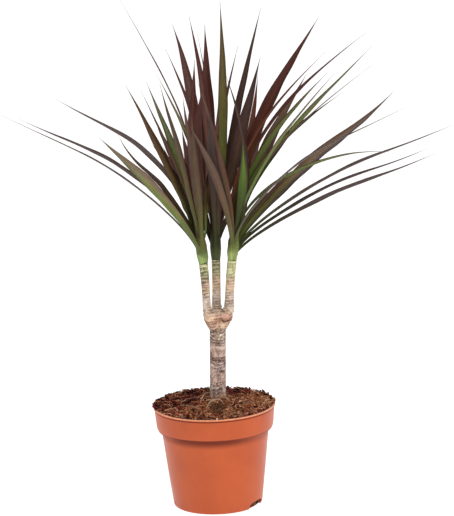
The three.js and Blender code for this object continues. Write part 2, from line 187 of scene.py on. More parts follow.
# Heads: a tapered green core that continues its branch
CORE_HEIGHT = 30
CORE_FOOT_RADIUS = 4.4
CORE_TIP_RADIUS = 1.8
CORE_SWELL = 0.7
CORE_SINK = 0.6  # how far a core goes down into its branch
CORE_STEPS = 18
ROOT_OUT = 0.6  # the share of the core's radius that a blade starts out at
# Each head: where its core stands and how it leans, the tones of its green, and the fan of leaves that
# fills its back: how many, and the turn, climb, length and height of the root of the first and the last
HEADS = {
    "left": {
        "foot": Vector((-5, -5, 243)), "lean": Vector((-0.062, 0, 1)).normalized(),
        "sheath": ("#80945a", "#4c5c2a"),
        "fan": {"count": 5, "turn": (90, 104), "climb": (6, 30), "length": (235, 220), "root": (3, 15)},
    },
    "middle": {
        "foot": Vector((7.3, 9, 244)), "lean": Vector((0.015, 0, 1)).normalized(),
        "sheath": ("#4e5830", "#353c1c"),
        "fan": {"count": 6, "turn": (72, 98), "climb": (8, 36), "length": (240, 195), "root": (3, 17)},
    },
    "right": {
        "foot": Vector((23, -3, 245)), "lean": Vector((0.1, 0, 1)).normalized(),
        "sheath": ("#8a9a5c", "#54642c"),
        "fan": {"count": 4, "turn": (64, 86), "climb": (4, 30), "length": (235, 220), "root": (4, 15)},
    },
}

# Leaves. Each row is: how high on the core it is rooted; the x, y and z of its tip; its bow above the
# straight line; its sway to the side; its greatest width; its turn in degrees; its tone; and how far
# its tip curls up.
LEAVES = {
    "left": (
        (4, -184, -105, 411, 20, 6, 9, 0, "ash", 3),
        (8, -185, 118, 371, 27, -4, 9, 0, "ash", 5),
        (10, -147.2, 110, 391.4, 32, 3, 9, 0, "ash", 6),
        (6, -93, -150, 394, 14, 5, 10, 35, "fold", 2),
        (12, -85, 70, 360, 7, 0, 7, 0, "mauve", 9),
        (13, -73.5, 35, 413.4, 5, -1, 13, 0, "bronze", 0),
        (16, -59, 30, 409, 7, 0, 6, 0, "olive", 1),
        (18, -55, 95, 407, 8, 1, 8, 0, "sage", 1),
        (20, -38, -70, 429, 4, 1, 7, 0, "olive", 0),
        (22, -73, -15, 502, 20, -2, 9, 0, "maroon", 2),
        (24, -17, -80, 418, 5, 0, 7, 0, "mauve", 0),
        (24, -28.6, 200, 450, 22, 8, 11, 0, "maroon", 0),
        (26, -10, 85, 472, 12, 11, 8, 0, "maroon", 0),
        (20, -6, 45, 434, 8, -4, 12, 0, "maroon", 0),
        (10, -44, 60, 420, 23, 5, 5, 0, "sage", 2),
        (22, -35, 110, 437, 25, 9, 5, 0, "maroon", 2),
        (19, 0, -80, 421, 9, 4, 16, 0, "maroon", 0),
        (5, 18, -11, 383, 6, 0, 9, 0, "khaki", 0),
        (11, -9.7, -113.7, 406.7, 11, 0, 8, 0, "khaki", 3),
    ),
    "middle": (
        (22, 5.2, 78, 464, 8, -1, 14, 0, "maroon", 0),
        (25, 21, 60, 488, 3, 6, 10, 0, "lime", 1),
        (20, 61, 95, 476, 4.5, -1, 9, 0, "dusk", 0),
        (23, -1.8, 15, 463, 8, 0, 5, 0, "maroon", 0),
        (24, 37, 75, 442, 13, -2, 5, 0, "maroon", 0),
        (24, 58, 40, 435, 0, 0, 13, 35, "dusk", 0),
        (7, 11, -48, 388, 9, -2, 14, 0, "plum", 1),
        (11, 6.9, -112.9, 410.1, 11, 0, 9, 0, "dark", 1),
        (4, -22.7, 61.1, 339, 3, 0, 10, 0, "plum", 0),
        (5, -52.7, 59.6, 352.1, 7, 0, 8, 0, "dark", 0),
        (5, 40, 35, 352, 8, 0, 9, 0, "dark", 0),
    ),
    "right": (
        (24, 118, 95, 465, 17, -5, 15, 0, "maroon", 2),
        (22, 55.5, 66, 414, 4, 4, 9, 0, "rust", 0),
        (20, 23.9, 25, 420.8, 14, 15, 5, 0, "dusk", 0),
        (20, 163, 75, 450, 33, -3, 7, 0, "maroon", 2),
        (22, 121, 30, 439, 26, -2, 7, 0, "rust", 1),
        (18, 105, 120, 405, 11, -1, 13, 0, "olive", 1),
        (16, 125, -70, 433, 14, 0, 10, 0, "green", 1),
        (18, 124, 80, 411, 20, -3, 10, 0, "green", 1),
        (16, 168, 55, 440, 18, -2, 9, 0, "sage", 3),
        (14, 136, 40, 397, 23, -1, 11, 0, "sage", 1),
        (8, 192, 135, 381, 8, -4, 14, 25, "mossy", 6),
        (7, 188, -115, 406, 24, 4, 10, 0, "ash", 4),
        (5.5, 249, 95, 352, 18, -1, 11, 0, "ash", 4),
        (4.5, 226, 125, 324, 14, -2, 11, 0, "ash", 4),
        (3, 231, 100, 323, 11, 0, 11, 0, "ash", 4),
        (14, 187, 60, 333, 32, -1, 9, 0, "sage", -2),
        (18, 37, -70, 374, 3, -5, 10, 0, "moss", 0),
        (7, -11, -120, 396, 12, -3, 8, 20, "mauve", 0),
        (9, -3, -110, 437, 7, -5, 6, 0, "scorched", 0),
        (22, 80.9, 110, 410.4, 23, -2, 5, 0, "rust", 0),
        (18, 161, -60, 438, 22, 0, 6, 0, "maroon", 2),
    ),
}
GOLDEN_SHARE = 0.618
FAN_BOW = 11
FAN_WIDTHS = (10, 8, 9)
FAN_TONE = "maroon"
FAN_CURL = 3
LEAF_WIDEST = 0.56
LEAF_FOOT_WIDTH = 0.45
LEAF_TIP_WIDTH = 0.3
LEAF_TAPER = 1.25
LEAF_THICKNESS = (0.85, 0.32)
LEAF_CHANNEL = 0.5
LEAF_STEPS = 44
LEAF_SECTION = (-1, -0.9, -0.7, -0.42, -0.14, 0.14, 0.42, 0.7, 0.9, 1)
TURN_BY = 0.35
SHEATH_DEPTH = 10
SHEATH_OPEN = 17
SHEATH_WRAP = 1.5
SHEATH_STEPS = 5
FOUNTAIN_LIFT = 3.5
FOUNTAIN_REACH = 24

# Each tone: the middle band's colours low down, at a quarter, half way and at the tip; the margins'
# colour; and the share of the half width that the band still takes half way along
TONES = {
    "maroon": (("#54501e", "#523516", "#4e2512", "#46251b"), "#431b13", 0.3),
    "bronze": (("#505a26", "#5e5830", "#665030", "#4c362c"), "#54381e", 0.6),
    "dusk": (("#4a4a24", "#4c3a22", "#4a3326", "#43342c"), "#3a2622", 0.3),
    "rust": (("#645224", "#74421e", "#6a381c", "#4a2c24"), "#512817", 0.5),
    "olive": (("#57602c", "#5e5a2a", "#5e4a2a", "#4a3a32"), "#4b3526", 0.6),
    "lime": (("#46561a", "#4e5a1c", "#545220", "#5a4634"), "#4a3c1c", 0.75),
    "green": (("#4c6222", "#5a7426", "#68763a", "#645a48"), "#565230", 0.85),
    "sage": (("#4c5e24", "#56662c", "#66743a", "#625e48"), "#4e4c2e", 0.75),
    "mauve": (("#555a2c", "#594a2e", "#5f4636", "#5c483e"), "#523a2c", 0.35),
    "ash": (("#4c5030", "#50483a", "#544842", "#5c5250"), "#463838", 0.3),
    "dark": (("#3a3e1e", "#35291c", "#36211a", "#352320"), "#2c1a18", 0.3),
    "plum": (("#4a4c26", "#54443a", "#523632", "#402824"), "#3a2420", 0.4),
    "ember": (("#4e3a20", "#5e3218", "#5a3a2a", "#5c483e"), "#4c2c1e", 0.6),
    "fawn": (("#566030", "#6c6c3e", "#6e5f48", "#72625a"), "#66543e", 0.6),
    "khaki": (("#4c5420", "#484620", "#4e3a24", "#52352a"), "#3e2c1a", 0.5),
    "moss": (("#1a2204", "#243404", "#385204", "#5c800a"), "#24320a", 0.9),
}
# Blades whose two halves of the channel take two tones: the greyer tone paints the sheen on one half, the
# other tone the shade on the other half
HALVES_SHEEN_AND_SHADE = {"fold": ("green", "fawn"), "mossy": ("ash", "olive"), "scorched": ("mauve", "ember")}
TONE_STOPS = (0.1, 0.26, 0.5, 0.95)
UNDER_GREY = "#7a6a5c"

SEED = 1183
ANY_WAY = (0, 6.28)


# --- small helpers ---

def linear(code):
    """A #rrggbb colour as the linear values that shaders and attributes take."""
    channels = [int(code[k:k + 2], 16) / 255 for k in (1, 3, 5)]
    return Vector([c / 12.92 if c <= 0.04045 else ((c + 0.055) / 1.055) ** 2.4 for c in channels])


def rgba(code):
    return (*linear(code), 1)


def lerp(a, b, share):
    return a + (b - a) * share


def clamp(value, low=0.0, high=1.0):
    return max(low, min(high, value))


def smooth(low, high, value):
    """A soft step from 0 at the low value to 1 at the high one."""
    share = clamp((value - low) / (high - low))
    return share * share * (3 - 2 * share)


def around(angle, radius, height, middle=Vector((0, 0, 0))):
    """The point at an angle and radius round an upright axis."""
    return Vector((middle.x + radius * math.cos(angle), middle.y + radius * math.sin(angle), height))


def pick(draw, codes, low, high):
    """One of a list of colours, dimmed or brightened."""
    return linear(draw.choice(codes)) * draw.uniform(low, high)


def stretched(point, sizes):
    return Vector([a * b for a, b in zip(point, sizes)])


def along_table(table, value):
    """What a table of (place, height or colour) rows gives at a place."""
    for (near, first), (far, second) in zip(table, table[1:]):
        if value <= far:
            return lerp(first, second, clamp((value - near) / (far - near)))
    return table[-1][1]


def make_piece(name, points, faces, material, replaces=(), tints=None, places=None):
    """A mesh piece in metres that rides on the root body, with a colour and a place kept per point."""
    mesh = bpy.data.meshes.new(name)
    mesh.from_pydata([point * MM for point in points], [], faces)
    mesh.shade_smooth()
    if tints:
        paint(mesh, tints)
    if places:
        layer = mesh.attributes.new("place", "FLOAT_VECTOR", "POINT")
        layer.data.foreach_set("vector", [number for place in places for number in place])
    mesh.materials.append(material)
    mesh.update()
    thing = show(bpy.data.objects.new(name, mesh))
    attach(thing, "root")
    if replaces:
        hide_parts(*replaces)
    return thing


def paint(mesh, tints):
    layer = mesh.color_attributes.new("tint", "FLOAT_COLOR", "POINT")
    layer.data.foreach_set("color", [channel for tint in tints for channel in (*tint, 1)])


def show(thing):
    bpy.context.scene.collection.objects.link(thing)
    return thing


def apply_modifiers(thing):
    """Gives a thing the mesh that its modifiers make."""
    bpy.context.view_layer.update()
    shaped = thing.evaluated_get(bpy.context.evaluated_depsgraph_get())
    mesh = bpy.data.meshes.new_from_object(shaped)
    thing.modifiers.clear()
    old = thing.data
    thing.data = mesh
    bpy.data.meshes.remove(old)


def ring_faces(rings, sides, closed=True):
    """Quads between successive rings of points, and one face on each end."""
    faces = []
    for ring in range(rings - 1):
        for side in range(sides):
            after = (side + 1) % sides
            low = ring * sides
            high = low + sides
            faces.append((low + side, low + after, high + after, high + side))
    if closed:
        last = (rings - 1) * sides
        faces.append(tuple(reversed(range(sides))))
        faces.append(tuple(range(last, last + sides)))
    return faces


def tube(path, radii, sides):
    """The points and faces of a closed round tube along a path."""
    points = []
    for step, centre in enumerate(path):
        ahead = (path[min(step + 1, len(path) - 1)] - path[max(step - 1, 0)]).normalized()
        side = Vector((0, 1, 0)) - ahead * ahead.y
        side = side.normalized() if side.length > 1e-3 else Vector((1, 0, 0))
        front = ahead.cross(side)
        for corner in range(sides):
            angle = 2 * math.pi * corner / sides
            points.append(centre + (side * math.cos(angle) + front * math.sin(angle)) * radii[step])
    return points, ring_faces(len(path), sides)


def curve_through(stations, per_span):
    """A smooth path through stations of any length, as lists of numbers."""
    rows = [Vector(station) for station in stations]
    padded = [rows[0] * 2 - rows[1], *rows, rows[-1] * 2 - rows[-2]]
    path = []
    for k in range(1, len(padded) - 2):
        before, here, there, after = padded[k - 1:k + 3]
        for step in range(per_span):
            t = step / per_span
            path.append(0.5 * (2 * here + (there - before) * t
                               + (2 * before - 5 * here + 4 * there - after) * t * t
                               + (3 * here - before - 3 * there + after) * t ** 3))
    path.append(rows[-1])
    return path


class Batch:
    """Many small closed solids gathered into one mesh."""

    def __init__(self):
        self.points = []
        self.faces = []
        self.tints = []
        self.places = []

    def extend(self, points, faces, tints=(), places=()):
        start = len(self.points)
        self.points.extend(points)
        self.faces.extend(tuple(start + corner for corner in face) for face in faces)
        self.tints.extend(tints)
        self.places.extend(places)

    def add(self, points, faces, tint):
        self.extend(points, faces, [tint] * len(points))

    def piece(self, name, material, replaces=()):
        return make_piece(name, self.points, self.faces, material, replaces, self.tints, self.places)


# --- materials ---

class Nodes:
    """The nodes of a material or a world, written as a chain of calls."""

    def __init__(self, owner, shader="Principled BSDF", coordinates="Object"):
        owner.use_nodes = True
        self.owner = owner
        self.tree = owner.node_tree
        self.shader = self.tree.nodes[shader]
        self.place = self.add("ShaderNodeTexCoord").outputs[coordinates]

    def add(self, kind, inputs=None, **settings):
        node = self.tree.nodes.new(kind)
        for name, value in settings.items():
            setattr(node, name, value)
        return self.plug(node, inputs or {})

    def plug(self, node, inputs):
        for name, value in inputs.items():
            if isinstance(value, bpy.types.NodeSocket):
                self.tree.links.new(value, node.inputs[name])
            else:
                node.inputs[name].default_value = value
        return node

    def noise(self, place, scale, detail=3, rough=0.55, stretch=None):
        if stretch:
            place = self.add("ShaderNodeVectorMath", {0: place, 1: stretch}, operation="MULTIPLY").outputs[0]
        settings = {"Vector": place, "Scale": scale, "Detail": detail, "Roughness": rough}
        return self.add("ShaderNodeTexNoise", settings).outputs["Fac"]

    def fit(self, value, low, high, to_low=0.0, to_high=1.0):
        settings = {"Value": value, "From Min": low, "From Max": high, "To Min": to_low, "To Max": to_high}
        return self.add("ShaderNodeMapRange", settings, interpolation_type="SMOOTHSTEP").outputs[0]

    def maths(self, operation, first, second=0.0):
        return self.add("ShaderNodeMath", {0: first, 1: second}, operation=operation).outputs[0]

    def times(self, first, second):
        return self.maths("MULTIPLY", first, second)

    def mix(self, share, first, second, blend="MIX"):
        """A mix of two colours; the node keeps its colour sockets at 6 and 7, and that result at 2."""
        sockets = {0: share, 6: first, 7: second}
        return self.add("ShaderNodeMix", sockets, data_type="RGBA", blend_type=blend).outputs[2]

    def shade(self, colour, red, green, blue):
        return self.mix(1.0, colour, (red, green, blue, 1), "MULTIPLY")

    def split(self, vector):
        return self.add("ShaderNodeSeparateXYZ", {0: vector}).outputs

    def join(self, x, y, z):
        return self.add("ShaderNodeCombineXYZ", {0: x, 1: y, 2: z}).outputs[0]

    def attribute(self, name, output="Color"):
        return self.add("ShaderNodeAttribute", attribute_name=name).outputs[output]

    def bump(self, height, strength, distance):
        inputs = {"Height": height, "Strength": strength, "Distance": distance}
        return self.add("ShaderNodeBump", inputs).outputs[0]

    def finish(self, **sockets):
        self.plug(self.shader, {name.replace("_", " "): value for name, value in sockets.items()})
        return self.owner


def new_finish(name):
    return Nodes(bpy.data.materials.new(name))


def pot_material():
    """Satin terracotta-coloured plastic: faint mottling and scuffs, soil dust near the rim, painted shadow
    in the creases under the collar and under the lip, and a painted highlight along the lip.
    """
    make = new_finish("pot_plastic")
    height = make.times(make.split(make.place)[2], 1000)
    clouds = make.noise(make.place, 26, 4)
    streaks = make.noise(make.place, 420, 2, 0.5, (1, 1, 0.06))
    scuffs = make.noise(make.place, 130, 5, 0.7, (1, 1, 0.5))
    specks = make.noise(make.place, 900, 2, 0.6)
    colour = make.mix(make.fit(clouds, 0.3, 0.7), rgba("#b14a1c"), rgba("#ba5222"))
    colour = make.mix(make.fit(streaks, 0.6, 0.85, 0, 0.1), colour, rgba("#cc7a50"))
    colour = make.mix(make.fit(scuffs, 0.64, 0.8, 0, 0.16), colour, rgba("#c48263"))
    # Painted shadow: a dark band in the crease under the collar and a thin one under the lip bead
    collar_shadow, lip_shadow = (make.times(make.fit(height, *crease_shadow[:2]), make.fit(height, *crease_shadow[2:], 1, 0))
                               for crease_shadow in (SHADOW_UNDER_COLLAR, SHADOW_UNDER_LIP))
    # The painted shadow under the collar is full across the middle, just left of the axis, and fainter
    # towards the left and right
    side = make.split(make.place)[0]
    shadow_by_side = make.times(make.fit(side, -0.058, -0.03, 0.35, 0.95), make.fit(side, 0.01, 0.05, 1, 0.5))
    crease_shadow = make.maths("MAXIMUM", make.times(collar_shadow, shadow_by_side), make.times(lip_shadow, 0.85))
    colour = make.mix(crease_shadow, colour, rgba("#661c00"))
    # A painted highlight along the top of the lip, broken by specks
    lip_highlight = make.times(make.fit(height, 98.8, 99.2), make.fit(specks, 0.35, 0.6, 0.4, 0.9))
    colour = make.mix(lip_highlight, colour, rgba("#e8a47e"))
    dust = make.times(make.fit(height, 86, 99), make.fit(scuffs, 0.5, 0.66))
    colour = make.mix(make.times(dust, 0.25), colour, rgba("#6b4028"))
    rough = make.maths("ADD", make.fit(clouds, 0.3, 0.7, 0.34, 0.44), make.times(crease_shadow, 0.4))
    normal = make.bump(make.maths("ADD", make.times(specks, 0.4), streaks), 0.08, 0.0002)
    return make.finish(Base_Color=colour, Roughness=rough, Normal=normal, Specular_IOR_Level=0.36)


def soil_material(name, rough=0.92):
    """Potting mix: the colour kept on the mesh, broken up by grains."""
    make = new_finish(name)
    tint = make.attribute("tint")
    grains = make.noise(make.place, 620, 4, 0.65)
    damp = make.noise(make.place, 90, 3)
    colour = make.mix(make.fit(grains, 0.36, 0.6, 0.0, 1.0), make.shade(tint, 0.3, 0.24, 0.22), tint)
    colour = make.mix(make.fit(damp, 0.5, 0.75, 0, 0.4), colour, make.shade(colour, 0.55, 0.47, 0.45))
    normal = make.bump(grains, 0.9, 0.0006)
    return make.finish(Base_Color=colour, Roughness=rough, Normal=normal, Specular_IOR_Level=0.1)


def bark_material():
    """Bark: the colours of rings and patches kept on the mesh, with specks, cracks and grain."""
    make = new_finish("bark")
    tint = make.attribute("tint")
    specks = make.noise(make.place, 520, 4, 0.75)
    cracks = make.noise(make.place, 300, 5, 0.7, (1, 1, 0.6))
    grain = make.noise(make.place, 1500, 2, 0.5)
    colour = make.mix(make.fit(cracks, 0.5, 0.62, 0, 0.7), tint, make.shade(tint, 0.42, 0.36, 0.3))
    colour = make.mix(make.fit(specks, 0.56, 0.68, 0, 0.6), colour, rgba("#d2bfb2"))
    colour = make.mix(make.fit(grain, 0.3, 0.7, 0.12, 0), colour, rgba("#4d3c30"))
    height = make.maths("SUBTRACT", specks, make.times(cracks, 1.4))
    normal = make.bump(height, 0.55, 0.0005)
    return make.finish(Base_Color=colour, Roughness=0.78, Normal=normal, Specular_IOR_Level=0.3)


def leaf_material():
    """A leathery blade: parallel veins, a paler midrib, a dark red margin and a satin gloss.
    The mesh's places hold the share across, the millimetres along and a number of each leaf's own."""
    make = new_finish("leaf")
    tint = make.attribute("tint")
    across, along, own = make.split(make.attribute("place", "Vector"))[:3]
    lines = make.join(make.times(across, 9.0), make.times(along, 0.018), own)
    veins = make.noise(lines, 1.6, 3, 0.6)
    fine = make.noise(lines, 5.5, 2, 0.5)
    patches = make.noise(make.join(across, make.times(along, 0.05), own), 1.4, 3)
    edge = make.maths("ABSOLUTE", across)
    colour = make.mix(make.fit(veins, 0.32, 0.66, 0.0, 0.6), tint, make.shade(tint, 0.5, 0.44, 0.46))
    colour = make.mix(make.fit(patches, 0.42, 0.7, 0.0, 0.3), colour, make.shade(tint, 1.5, 1.25, 1.1))
    colour = make.mix(make.fit(fine, 0.52, 0.7, 0.0, 0.4), colour, make.shade(tint, 1.9, 1.8, 1.4))
    colour = make.mix(make.fit(edge, 0.0, 0.09, 0.3, 0.0), colour, make.shade(tint, 1.7, 1.6, 1.4))
    colour = make.mix(make.fit(edge, 0.78, 0.95, 0.0, 0.72), colour, rgba("#3a1811"))
    rough = make.fit(patches, 0.3, 0.7, 0.42, 0.56)
    normal = make.bump(make.maths("ADD", veins, make.times(fine, 0.5)), 0.35, 0.00025)
    return make.finish(Base_Color=colour, Roughness=rough, Normal=normal, Specular_IOR_Level=0.18)


# --- camera, light and floor ---

def make_camera():
    pitch = math.radians(CAMERA_PITCH)
    roll = math.radians(CAMERA_ROLL)
    ahead = Vector((0, math.cos(pitch), -math.sin(pitch)))
    level_up = Vector((0, math.sin(pitch), math.cos(pitch)))
    right = Vector((1, 0, 0)) * math.cos(roll) - level_up * math.sin(roll)
    up = right.cross(ahead)
    data = bpy.data.cameras.new("camera")
    data.lens = CAMERA_LENS
    data.sensor_width = 36
    data.clip_end = 200
    camera = bpy.data.objects.new("camera", data)
    turn = Matrix((right, up, -ahead)).transposed().to_4x4()
    camera.matrix_world = Matrix.Translation(CAMERA_PLACE * MM) @ turn
    bpy.context.scene.camera = show(camera)


def area_light(name, place, size, watts):
    """A square soft light that faces the middle of the plant."""
    data = bpy.data.lights.new(name, "AREA")
    data.size = size
    data.energy = watts
    light = bpy.data.objects.new(name, data)
    light.location = place
    light.rotation_euler = (LIGHTS_FACE - light.location).to_track_quat("-Z", "Y").to_euler()
    show(light)


def make_studio():
    """White surroundings that dim overhead, three broad soft lights, and a white floor that glows."""
    scene = bpy.context.scene
    scene.view_settings.view_transform = "Standard"
    sky = Nodes(bpy.data.worlds.new("studio"), "Background", "Generated")
    steps = {"Value": sky.split(sky.place)[2], "From Min": SKY_WHITE_TO, "From Max": SKY_DIM_FROM,
             "To Min": 1.0, "To Max": SKY_OVERHEAD}
    dim = sky.add("ShaderNodeMapRange", steps).outputs[0]
    scene.world = sky.finish(Strength=dim, Color=WHITE)
    for name, place, size, watts in LIGHTS:
        area_light(name, place, size, watts)
    mesh = bpy.data.meshes.new("floor")
    corners = [(x * FLOOR_HALF, y * FLOOR_HALF, 0) for x, y in ((-1, -1), (1, -1), (1, 1), (-1, 1))]
    mesh.from_pydata(corners, [], [(0, 1, 2, 3)])
    white = new_finish("floor_white")
    mesh.materials.append(white.finish(
        Base_Color=(FLOOR_ALBEDO, FLOOR_ALBEDO, FLOOR_ALBEDO, 1), Roughness=0.9, Specular_IOR_Level=0.0,
        Emission_Color=WHITE, Emission_Strength=FLOOR_GLOW))
    floor = show(bpy.data.objects.new("floor", mesh))
    floor.location.z = -FLOOR_DROP


# --- pot ---

def inner_radius(height):
    """The radius of the pot's inside at a height."""
    wall = ((0, BASE_RADIUS), (SHOULDER_HEIGHT, SHOULDER_RADIUS), (COLLAR_HEIGHT, COLLAR_RADIUS),
            (POT_HEIGHT, RIM_RADIUS - BEAD))
    return along_table(wall, height) - WALL


def round_corners(corners, steps=5):
    """A profile whose corners (radius, height, rounding) are replaced by arcs."""
    profile = []
    for k, (radius, height, rounding) in enumerate(corners):
        here = Vector((radius, height))
        if not rounding:
            profile.append(here)
            continue
        back = Vector(corners[k - 1][:2]) - here
        ahead = Vector(corners[k + 1][:2]) - here
        first = here + back.normalized() * min(rounding, back.length * 0.49)
        last = here + ahead.normalized() * min(rounding, ahead.length * 0.49)
        for step in range(steps + 1):
            t = step / steps
            profile.append(first * (1 - t) ** 2 + here * 2 * t * (1 - t) + last * t ** 2)
    return profile


def lathe(profile, sides):
    """The points and faces of a profile turned about the Z axis; both ends lie on the axis."""
    points = [Vector((0, 0, profile[0].y))]
    inner = profile[1:-1]
    for place in inner:
        points.extend(around(2 * math.pi * side / sides, place.x, place.y) for side in range(sides))
    points.append(Vector((0, 0, profile[-1].y)))
    last = len(points) - 1
    top = 1 + (len(inner) - 1) * sides
    faces = [tuple(corner + 1 for corner in face) for face in ring_faces(len(inner), sides, closed=False)]
    for side in range(sides):
        after = (side + 1) % sides
        faces.append((0, 1 + after, 1 + side))
        faces.append((top + side, top + after, last))
    return points, faces


def cutter(points, faces):
    mesh = bpy.data.meshes.new("cutter")
    mesh.from_pydata([point * MM for point in points], [], faces)
    made = bmesh.new()
    made.from_mesh(mesh)
    bmesh.ops.recalc_face_normals(made, faces=made.faces)
    made.to_mesh(mesh)
    made.free()
    return show(bpy.data.objects.new("cutter", mesh))


def notch_cutter(turn, inner):
    """A block with a round top edge that opens one drainage notch in the foot."""
    outer = BASE_RADIUS + 6
    points = []
    for step in range(NOTCH_STEPS + 1):
        share = 2 * step / NOTCH_STEPS - 1
        angle = math.radians(turn) + math.radians(NOTCH_SPAN / 2) * share
        top = NOTCH_HEIGHT * (1 - 0.45 * abs(share) ** 4)
        section = ((inner, -5), (inner, top), (outer, top), (outer, -5))
        points.extend(around(angle, radius, height) for radius, height in section)
    return cutter(points, ring_faces(NOTCH_STEPS + 1, len(section)))


def drain_cutter(turn):
    path = [around(turn, DRAIN_RING, height) for height in (-3, 5)]
    return cutter(*tube(path, [DRAIN_RADIUS, DRAIN_RADIUS], sides=28))


def make_pot(material):
    """The pot's profile turned, from under its foot over the rim and down inside; then its openings."""
    neck = RIM_RADIUS - BEAD
    corners = (
        (0, 0, 0),
        (BASE_RADIUS - 0.4, 0, 1.6),
        (lerp(BASE_RADIUS, SHOULDER_RADIUS, 0.5), SHOULDER_HEIGHT / 2, 0),
        (SHOULDER_RADIUS, SHOULDER_HEIGHT, 1.2),
        (COLLAR_RADIUS - 0.8, COLLAR_HEIGHT - 1.6, 1.4),
        (COLLAR_RADIUS + 0.1, COLLAR_HEIGHT + 1.6, 1.4),
        (neck - 0.2, POT_HEIGHT - 3.2 * BEAD, 0.3),
        (neck - 0.35, POT_HEIGHT - 2.5 * BEAD, 0.25),
        (RIM_RADIUS - 0.1, POT_HEIGHT - 2.1 * BEAD, 0.4),
        (RIM_RADIUS, POT_HEIGHT, 1.0),
        (inner_radius(POT_HEIGHT), POT_HEIGHT, 0.6),
        (inner_radius(COLLAR_HEIGHT), COLLAR_HEIGHT, 1),
        (inner_radius(SHOULDER_HEIGHT - 0.01), SHOULDER_HEIGHT, 1),
        (inner_radius(FLOOR), FLOOR, 1),
        (0, FLOOR, 0),
    )
    points, faces = lathe(round_corners(corners), POT_SIDES)
    pot = make_piece("pot_shell", points, faces, material, ("pot",))
    blocks = [notch_cutter(turn, inner) for turn, inner in NOTCHES]
    blocks += [drain_cutter(2 * math.pi * (hole + 0.5) / DRAIN_COUNT) for hole in range(DRAIN_COUNT)]
    for block in blocks:
        cut = pot.modifiers.new("cut", "BOOLEAN")
        cut.object = block
        cut.operation = "DIFFERENCE"
        cut.solver = "EXACT"
    apply_modifiers(pot)
    for block in blocks:
        bpy.data.objects.remove(block)
    pot.data.shade_smooth()
    pot.data.set_sharp_from_angle(angle=math.radians(40))


# --- soil ---

def trunk_axis(height):
    return TRUNK_FOOT.lerp(TRUNK_TOP, (height - TRUNK_FOOT.z) / (TRUNK_TOP.z - TRUNK_FOOT.z))


def lumps(x, y, size, seed):
    """Smooth noise about zero, in lumps of a size."""
    return noise(Vector((x / size, y / size, seed)))


def soil_height(x, y):
    """The top of the soil: the low mound, its lumps, and its grain."""
    radius = math.hypot(x, y)
    loose = 1 - 0.7 * smooth(50, 57.5, radius)
    grain = 1.3 * lumps(x, y, 13, 3.1) + 1.1 * lumps(x, y, 5, 7.7) + 0.8 * abs(lumps(x, y, 2.1, 1.9))
    return along_table(SOIL_PROFILE, radius) + loose * grain


def soil_pale(x, y):
    """How pale and fibrous the soil is: less in wet patches left of the trunk and at the back right."""
    wet = 0.0
    for middle_x, middle_y, reach in WET_PATCHES:
        wet += math.exp(-((x - middle_x) ** 2 + (y - middle_y) ** 2) / reach ** 2)
    return clamp(0.66 + 0.7 * lumps(x, y, 16, 5.5) - 0.85 * wet - y / 120 + x / 200)


def soil_tone(draw, x, y):
    pool = SOIL_PALE if draw.random() < soil_pale(x, y) else SOIL_DARK
    return linear(draw.choice(pool)) * draw.choice((draw.uniform(0.25, 0.9), draw.uniform(0.9, 1.9)))


def make_soil(material):
    """The bed under the crumbs: up the stem's hole, out over the top, and down the pot's inside."""
    draw = random.Random(SEED)
    bore = TRUNK_RADIUS + SOIL_GAP
    stem = trunk_axis(STEM_FOOT_HEIGHT).xy
    limit = inner_radius(SOIL_EDGE_HEIGHT) - SOIL_GAP
    angles = [2 * math.pi * side / SOIL_SIDES for side in range(SOIL_SIDES)]
    points = [around(angle, bore, height, trunk_axis(height)) for height in SOIL_BORE for angle in angles]
    for step in range(SOIL_RINGS + 1):
        for angle in angles:
            way = Vector((math.cos(angle), math.sin(angle)))
            reach = -stem.dot(way) + math.sqrt(stem.dot(way) ** 2 + limit ** 2 - stem.length_squared)
            flat = stem + way * lerp(bore, reach, step / SOIL_RINGS)
            points.append(Vector((flat.x, flat.y, soil_height(flat.x, flat.y))))
    for height in SOIL_SIDE:
        points.extend(around(angle, inner_radius(height) - SOIL_GAP, height) for angle in angles)
    # The bed is dimmed to paint the shade in the gaps between the crumbs
    tints = [soil_tone(draw, point.x, point.y) * BED_PAINTED_SHADE for point in points]
    faces = ring_faces(len(points) // SOIL_SIDES, SOIL_SIDES)
    make_piece("soil_bed", points, faces, material, ("soil",), tints)


def clod_shape(detail):
    """The points and faces of a round lump."""
    made = bmesh.new()
    bmesh.ops.create_icosphere(made, subdivisions=detail, radius=1)
    points = [vertex.co.copy() for vertex in made.verts]
    faces = [tuple(vertex.index for vertex in face.verts) for face in made.faces]
    made.free()
    return points, faces


def clod(batch, shape, centre, size, draw, tint):
    """An uneven crumb of soil."""
    turn = Matrix.Rotation(draw.uniform(*ANY_WAY), 3, "X") @ Matrix.Rotation(draw.uniform(*ANY_WAY), 3, "Z")
    stretch = Vector((draw.uniform(0.9, 2), draw.uniform(0.6, 1.1), draw.uniform(0.45, 0.95)))
    shift = Vector((draw.uniform(0, 50), draw.uniform(0, 50), draw.uniform(0, 50)))
    points = []
    for point in shape[0]:
        swell = 1 + 0.55 * noise(point * 1.7 + shift)
        points.append(centre + turn @ stretched(point, stretch) * size * swell)
    batch.add(points, shape[1], tint)


def scatter(draw, reach):
    """A place on the soil within a reach of the pot's axis; even over the whole disc."""
    radius = reach * math.sqrt(draw.random())
    angle = draw.uniform(0, 2 * math.pi)
    return radius * math.cos(angle), radius * math.sin(angle)


